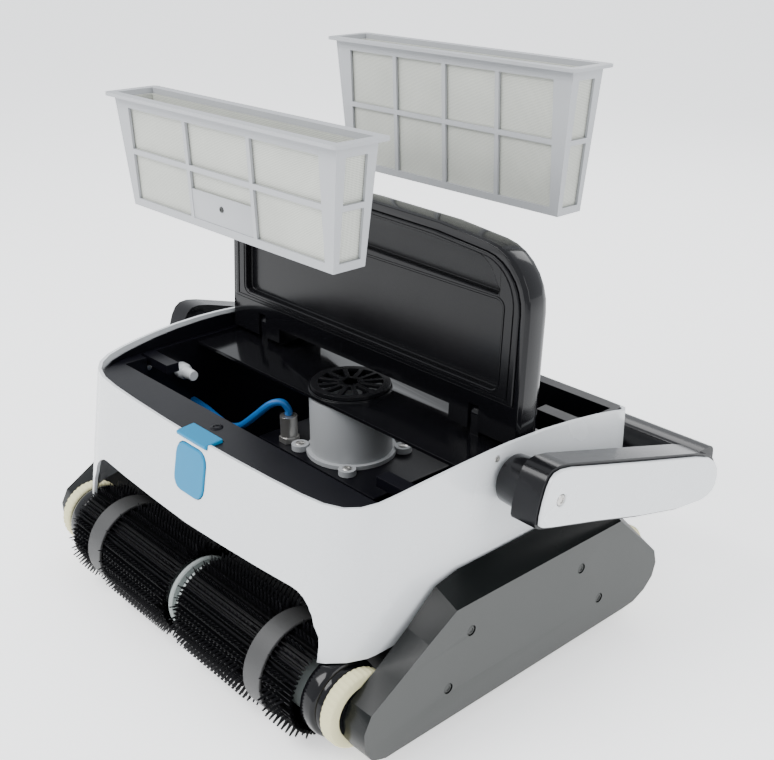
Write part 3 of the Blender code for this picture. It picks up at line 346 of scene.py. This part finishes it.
# Front lid: a glossy black tray on two steel pins, with a satin liner pressed into it. The liner has
# a recessed rectangle, an arched recess above it and a thin polished bead round each.
LINER_SATIN = moulded("liner_satin", (0.005, 0.005, 0.006), 0.20, 900, 0.04, 0.10, 0.15, shine=0.2)
LINER_MATT = moulded("liner_matt", (0.013, 0.013, 0.014), 0.40, 900, 0.16, 0.10, 0.15, shine=0.22)
BEAD_GLOSS = moulded("bead_gloss", (0.03, 0.03, 0.032), 0.14, 900, 0.01, 0.08, 0.1)
rounded_copy("front_lid_shell", "front_lid", GLOSS_BLACK, 0.0016, 4, 60, 24)
liner = rounded_copy("front_lid_liner", "front_lid", LINER_SATIN, 0.0009, 3)
liner.data.materials.append(LINER_MATT)
LEAN = math.radians(-3)
LINER_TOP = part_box("front_lid_liner")[1].z
top_front = min(v.co.y for v in liner.data.vertices if v.co.z > LINER_TOP - 0.004)
for face in liner.data.polygons:
    depth = face.center.y - top_front - (face.center.z - LINER_TOP) * math.tan(LEAN)
    if face.normal.y < -0.9 and depth > 0.004:
        face.material_index = 1
LID_PIVOT = Vector((0, 0.168, 0.1535))
LID_FACE = LID_PIVOT.y - 0.010
LID_LEAN = Matrix.Rotation(LEAN, 3, "X")


def arc_points(centre, radius, start, end, steps):
    turns = [math.radians(start + (end - start) * i / steps) for i in range(steps + 1)]
    return [(centre[0] + radius * math.cos(a), centre[1] + radius * math.sin(a)) for a in turns]


def add_bead(name, outline, thickness, proud):
    """A thin closed bead that follows an outline on the liner's face."""
    bead = bmesh.new()
    loop = [bead.verts.new((x, LID_FACE - proud, z)) for x, z in outline]
    face = bead.faces.new(loop)
    bmesh.ops.inset_region(bead, faces=[face], thickness=thickness, use_boundary=True, use_even_offset=True)
    bmesh.ops.delete(bead, geom=[face], context="FACES_ONLY")
    drawn = bmesh.ops.extrude_face_region(bead, geom=list(bead.faces))
    back = [v for v in drawn["geom"] if isinstance(v, bmesh.types.BMVert)]
    bmesh.ops.translate(bead, verts=back, vec=(0, proud + 0.0006, 0))
    bmesh.ops.recalc_face_normals(bead, faces=bead.faces)
    bmesh.ops.rotate(bead, verts=bead.verts, cent=LID_PIVOT, matrix=LID_LEAN)
    piece = finish_piece(name, bead, "front_lid", BEAD_GLOSS)
    edge = piece.modifiers.new("rounded_edges", "BEVEL")
    edge.width = 0.0003
    edge.segments = 2
    edge.limit_method = "ANGLE"
    return piece


def lid_outline(half, bottom, top, corner, bow):
    right = arc_points((half - corner, top - bow - corner), corner, 0, 84, 10)
    right = [(half, bottom)] + right + [(half * 0.5, top - bow * 0.3)]
    return [(-x, z) for x, z in right] + [(0.0, top)] + [(x, z) for x, z in reversed(right)]


def round_rectangle(x, low, high, corner):
    return (arc_points((x - corner, high - corner), corner, 0, 90, 4)
            + arc_points((corner - x, high - corner), corner, 90, 180, 4)
            + arc_points((corner - x, low + corner), corner, 180, 270, 4)
            + arc_points((x - corner, low + corner), corner, 270, 360, 4))


add_bead("liner_rim_bead", lid_outline(0.1655, 0.1755, 0.2835, 0.0345, 0.006), 0.0009, 0.0007)
add_bead("liner_panel_bead", round_rectangle(0.1572, 0.1778, 0.2502, 0.0075), 0.0008, 0.0006)
rounded_copy("rear_lid", "rear_lid", GLOSS_BLACK, 0.0012, 4)
for end in ("front", "rear"):
    for side in ("left", "right"):
        rounded_copy(f"{end}_lid_pin_{side}", "hull", METAL_GREY, 0.0003)


# Latch: a blue button let into the front face and a blue tab hooked over the rim. Both are moulded
# plastic, and pressing the button slides the tab forward, off the lid's edge.
LATCH_BLUE = moulded("latch_blue", (0.0, 0.185, 0.365), 0.34, 700, 0.02, 0.08, 0.05, shine=0.2)
rounded_copy("latch_button", "latch_button", LATCH_BLUE, 0.0012, 3)
rounded_copy("latch_tab", "latch_tab", LATCH_BLUE, 0.0010, 3)


# Side covers: dark grey mouldings with a fine textured side and a glossy bevel all along the sloping
# top. Each is held by four screws that sit in round dimples, with a raised collar round each.
COVER_GREY = moulded("cover_grey", (0.038, 0.040, 0.038), 0.55, 1800, 0.22, 0.08, 0.14)
COVER_BEVEL = moulded("cover_bevel", (0.006, 0.007, 0.007), 0.22, 900, 0.02, 0.12, 0.3, shine=0.16)
COVER_SCREWS = ((0.0829, 0.0382), (0.061, -0.0002), (0.2034, 0.0371), (0.2288, -0.0009))
COVER_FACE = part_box("side_cover_right")[1].x

for side, sign in (("left", -1), ("right", 1)):
    cover = rounded_copy("side_cover_" + side, "hull", COVER_GREY, 0.0012, 3, 38, 30)
    cover.data.materials.append(COVER_BEVEL)
    for face in cover.data.polygons:
        out = face.normal.x * sign
        uphill = face.normal.z > 0.05 or face.normal.y < -0.3
        if uphill and face.normal.z > -0.4 and out < 0.93 and face.center.y < AXLE.y + 0.262:
            face.material_index = 1
    for number, (along, up) in enumerate(COVER_SCREWS):
        add_screw(f"cover_screw_{side}_{number}", (sign * (COVER_FACE - 0.0012), along, up), (sign, 0, 0),
                  0.0037, "hull", COVER_GREY)


# Carrying handle: a glossy black bow that swings on two stepped necks, with a white plate let into
# the outside of each arm and a steel screw through each pivot.
HANDLE_BLACK = moulded("handle_black", (0.005, 0.005, 0.006), 0.18, 700, 0.03, 0.14, 0.3, shine=0.25)
rounded_copy("carry_handle", "handle", HANDLE_BLACK, 0.0030, 5)
for side, sign in (("left", -1), ("right", 1)):
    rounded_copy("handle_plate_" + side, "handle", SHELL_WHITE, 0.0012, 4)
    rounded_copy("handle_screw_" + side, "hull", METAL_GREY, 0.0005)
    add_screw(f"handle_screw_head_{side}", (sign * 0.2343, 0.142, 0.130), (sign, 0, 0), 0.0041, "hull",
              METAL_GREY)
    add_screw(f"shell_side_screw_{side}", (sign * 0.1862, 0.1290, 0.1480), (sign, 0, 0), 0.0026, "hull",
              METAL_GREY)


# Brushes: each is a pale roller with two soft black PVC sleeves. A sleeve is moulded with rows of
# small pointed fingers on fine lengthwise ribs, held down near its end by a grey elastic band.
BRUSH_BLACK = moulded("brush_black", (0.006, 0.006, 0.007), 0.34, 1200, 0.10, 0.12, 0.3, shine=0.2)
BAND_GREY = moulded("band_grey", (0.034, 0.034, 0.034), 0.55, 1200, 0.15, 0.1, 0.15)
ROLLER_GREY = moulded("roller_grey", (0.30, 0.33, 0.32), 0.5, 900, 0.08, 0.1, 0.15)
BRUSH_RADIUS = AXLE.z
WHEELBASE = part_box("rear_brush_roller")[0].y - axle_low.y
SLEEVE_START, SLEEVE_END = 0.0080, 0.1538
BAND_START, BAND_END = 0.1026, 0.1222
SLEEVE_SKIN, RIB_TOP, BAND_SEAT = 0.0330, 0.0362, 0.0366
ROWS = 30
FINGER_PITCH = 0.0046


def add_sleeve(end, side, along):
    """A tube with fine ribs, and a row of fingers on every second rib, all in one mesh."""
    sleeve = bmesh.new()
    outline = []
    for rib in range(ROWS * 2):
        middle = math.tau * rib / (ROWS * 2)
        for offset, radius in ((-0.03, SLEEVE_SKIN), (-0.01, RIB_TOP), (0.01, RIB_TOP), (0.03, SLEEVE_SKIN)):
            outline.append(sleeve.verts.new((SLEEVE_START, radius * math.sin(middle + offset),
                                             radius * math.cos(middle + offset))))
    skin = sleeve.faces.new(outline)
    bmesh.ops.inset_individual(sleeve, faces=[skin], thickness=0.0070, use_even_offset=False)
    bmesh.ops.delete(sleeve, geom=[skin], context="FACES_ONLY")
    drawn = bmesh.ops.extrude_face_region(sleeve, geom=list(sleeve.faces))
    far = [v for v in drawn["geom"] if isinstance(v, bmesh.types.BMVert)]
    bmesh.ops.translate(sleeve, verts=far, vec=(SLEEVE_END - SLEEVE_START, 0, 0))
    bmesh.ops.recalc_face_normals(sleeve, faces=sleeve.faces)
    finger = bmesh.new()
    bmesh.ops.create_cone(finger, cap_ends=True, segments=4, radius1=0.0021, radius2=0.0009,
                          depth=BRUSH_RADIUS - SLEEVE_SKIN - 0.0005)
    bmesh.ops.scale(finger, verts=finger.verts, vec=(0.95, 0.42, 1))
    bmesh.ops.translate(finger, verts=finger.verts, vec=(0, 0, (BRUSH_RADIUS + SLEEVE_SKIN) / 2 - 0.0004))
    one_finger = bpy.data.meshes.new("finger")
    finger.to_mesh(one_finger)
    finger.free()
    count = int((SLEEVE_END - SLEEVE_START - 0.004) / FINGER_PITCH)
    for row in range(ROWS):
        turn = Matrix.Rotation(math.tau * row / ROWS, 3, "X")
        for step in range(count):
            x = SLEEVE_START + 0.0030 + FINGER_PITCH * (step + 0.5 * (row % 2))
            if BAND_START - 0.0026 < x < BAND_END + 0.0026:
                continue
            before = len(sleeve.verts)
            sleeve.from_mesh(one_finger)
            sleeve.verts.ensure_lookup_table()
            new = sleeve.verts[before:]
            bmesh.ops.translate(sleeve, verts=new, vec=(x, 0, 0))
            bmesh.ops.rotate(sleeve, verts=new, cent=(x, 0, 0), matrix=turn)
    bpy.data.meshes.remove(one_finger)
    if side == "left":
        bmesh.ops.scale(sleeve, verts=sleeve.verts, vec=(-1, 1, 1))
        bmesh.ops.reverse_faces(sleeve, faces=sleeve.faces)
    bmesh.ops.translate(sleeve, verts=sleeve.verts, vec=(0, along, 0))
    finish_piece(f"{end}_sleeve_{side}", sleeve, end + "_brush", BRUSH_BLACK,
                 (f"{end}_brush_sleeve_{side}",), 25)


def add_turned(name, profile, along, side, body, material, nodes=(), segments=96):
    """A ring or disc turned about the brush axle from a closed outline of (x, radius)."""
    ring = bmesh.new()
    points = [ring.verts.new((x, 0, radius)) for x, radius in profile]
    edges = [ring.edges.new((points[i - 1], points[i])) for i in range(len(points))]
    bmesh.ops.spin(ring, geom=points + edges, cent=(0, 0, 0), axis=(1, 0, 0), angle=math.tau,
                   steps=segments, use_merge=True)
    bmesh.ops.remove_doubles(ring, verts=ring.verts, dist=1e-6)
    bmesh.ops.recalc_face_normals(ring, faces=ring.faces)
    if side == "left":
        bmesh.ops.scale(ring, verts=ring.verts, vec=(-1, 1, 1))
        bmesh.ops.reverse_faces(ring, faces=ring.faces)
    bmesh.ops.translate(ring, verts=ring.verts, vec=(0, along, 0))
    return finish_piece(name, ring, body, material, nodes, 40)


BAND_PROFILE = [(BAND_START, BAND_SEAT), (BAND_START, 0.0381), (BAND_START + 0.0005, 0.0386),
                (BAND_END - 0.0005, 0.0386), (BAND_END, 0.0381), (BAND_END, BAND_SEAT)]
HUB_PROFILE = [(0.0030, 0.0236), (0.0030, 0.0305), (0.0040, 0.0315), (0.0068, 0.0315), (0.0068, 0.0236)]
for end, along in (("front", 0), ("rear", WHEELBASE)):
    roller = rounded_copy(end + "_brush_roller", end + "_brush", ROLLER_GREY, 0.0006)
    roller.data.materials.append(TUB_BLACK)
    for face in roller.data.polygons:
        if abs(face.center.x) > 0.1:
            face.material_index = 1
    rounded_copy(end + "_brush_pulley", end + "_brush", TUB_BLACK, 0.0003)
    for side in ("left", "right"):
        add_sleeve(end, side, along)
        add_turned(f"{end}_band_{side}", BAND_PROFILE, along, side, end + "_brush", BAND_GREY,
                   (f"{end}_tie_band_{side}",))
        add_turned(f"{end}_middle_hub_{side}", HUB_PROFILE, along, side, end + "_brush", ROLLER_GREY)


# Brush ends: a smooth black collar and a cream foam rubber ring, pressed side by side on the hub
# outside each sleeve. The ring is ribbed across its tread so that it grips the pool wall.
GRIP_CREAM = moulded("grip_cream", (0.66, 0.62, 0.37), 0.72, 1500, 0.35, 0.1, 0.1)
COLLAR_PROFILE = [(0.1549, 0.0080), (0.1549, 0.0262), (0.1556, 0.0282), (0.1572, 0.0296), (0.1600, 0.0300),
                  (0.1672, 0.0300), (0.1694, 0.0295), (0.1706, 0.0284), (0.1710, 0.0270), (0.1752, 0.0264),
                  (0.1758, 0.0258), (0.1758, 0.0197), (0.1878, 0.0197), (0.1878, 0.0080)]
RING_PROFILE = [(0.1761, 0.0200), (0.1761, 0.0266), (0.1768, 0.0278), (0.1782, 0.0286), (0.1855, 0.0286),
                (0.1869, 0.0278), (0.1876, 0.0266), (0.1876, 0.0200)]
for end, along in (("front", 0), ("rear", WHEELBASE)):
    for side in ("left", "right"):
        add_turned(f"{end}_collar_{side}", COLLAR_PROFILE, along, side, end + "_brush", GLOSS_BLACK,
                   (f"{end}_end_collar_{side}",))
        tread = add_turned(f"{end}_foam_ring_{side}", RING_PROFILE, along, side, end + "_brush", GRIP_CREAM,
                           (f"{end}_grip_ring_{side}",), 120)
        for vert in tread.data.vertices:
            arm = Vector((vert.co.y - AXLE.y - along, vert.co.z - AXLE.z))
            step = round(math.atan2(arm.y, arm.x) / math.tau * 120) % 3
            if step == 0 and arm.length > 0.0270:
                arm *= 0.972
                vert.co.y, vert.co.z = AXLE.y + along + arm.x, AXLE.z + arm.y


# Filter baskets: ribbed frames moulded in grey plastic round a fine square-woven cloth. The front one
# has a solid panel with a small screw in its long wall.
BASKET_GREY = moulded("basket_grey", (0.36, 0.37, 0.385), 0.42, 900, 0.06, 0.1, 0.08)


def build_mesh_cloth():
    """A fine square weave: light threads over darker holes, on the basket's own walls."""
    finish = moulded("mesh_grey", (0.56, 0.575, 0.52), 0.6, 900, 0.25, 0.1, 0.3)
    nodes, links = finish.node_tree.nodes, finish.node_tree.links
    place = nodes.new("ShaderNodeTexCoord")
    parts = nodes.new("ShaderNodeSeparateXYZ")
    links.new(place.outputs["Object"], parts.inputs[0])
    along = nodes.new("ShaderNodeMath")
    links.new(parts.outputs["X"], along.inputs[0])
    links.new(parts.outputs["Y"], along.inputs[1])
    threads = []
    for source in (along.outputs[0], parts.outputs["Z"]):
        wave = nodes.new("ShaderNodeMath")
        wave.operation = "MULTIPLY"
        wave.inputs[1].default_value = math.tau / 0.0011
        links.new(source, wave.inputs[0])
        sine = nodes.new("ShaderNodeMath")
        sine.operation = "SINE"
        links.new(wave.outputs[0], sine.inputs[0])
        thread = nodes.new("ShaderNodeMapRange")
        thread.inputs["From Min"].default_value = 0.0
        thread.inputs["From Max"].default_value = 0.8
        thread.inputs["To Min"].default_value = 0.5
        links.new(sine.outputs[0], thread.inputs["Value"])
        threads.append(thread.outputs["Result"])
    weave = nodes.new("ShaderNodeMath")
    weave.operation = "MAXIMUM"
    links.new(threads[0], weave.inputs[0])
    links.new(threads[1], weave.inputs[1])
    woven = nodes.new("ShaderNodeVectorMath")
    woven.operation = "SCALE"
    links.new(nodes["Group"].outputs["Tinted Color"], woven.inputs[0])
    links.new(weave.outputs[0], woven.inputs["Scale"])
    links.new(woven.outputs[0], nodes["Principled BSDF"].inputs["Base Color"])
    links.new(weave.outputs[0], nodes["Bump"].inputs["Height"])
    return finish


MESH_GREY = build_mesh_cloth()
BASKETS = {"front": (0.0500, 0.3740, 0.086), "rear": (0.2705, 0.3976, 0.112)}
WALL_TOP, WALL_LOW = 0.0172, 0.0135


def add_panel(name, end, x0, x1, z0, z1, out):
    """A solid panel let into a window of the basket's long wall, following the wall's slope."""
    along, rim, height = BASKETS[end]
    panel = bmesh.new()
    corners = []
    for x, z in ((x0, z0), (x1, z0), (x1, z1), (x0, z1)):
        share = (rim - z) / height
        half = WALL_TOP + (WALL_LOW - WALL_TOP) * share
        corners.append(panel.verts.new((x, along + out * (half - 0.0003), z)))
    face = panel.faces.new(corners)
    drawn = bmesh.ops.extrude_face_region(panel, geom=[face])
    inner = [v for v in drawn["geom"] if isinstance(v, bmesh.types.BMVert)]
    bmesh.ops.translate(panel, verts=inner, vec=(0, -out * 0.0012, 0))
    bmesh.ops.bevel(panel, geom=list(panel.edges), offset=0.0002, segments=2, profile=0.5,
                    affect="EDGES", material=-1)
    bmesh.ops.recalc_face_normals(panel, faces=panel.faces)
    finish_piece(name, panel, end + "_basket", BASKET_GREY)


for end in BASKETS:
    for node, finish in (("_basket_frame", BASKET_GREY), ("_basket_mesh", MESH_GREY)):
        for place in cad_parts[end + node].material_slots:
            place.material = finish
LOW = BASKETS["front"][1] - BASKETS["front"][2]
add_panel("front_basket_panel", "front", -0.0372, 0.0372, LOW + 0.0060, LOW + 0.0280, -1)
add_screw("front_basket_screw", (0.0, BASKETS["front"][0] - 0.01435, LOW + 0.0190), (0, -1, 0), 0.0022,
          "front_basket", COVER_GREY)
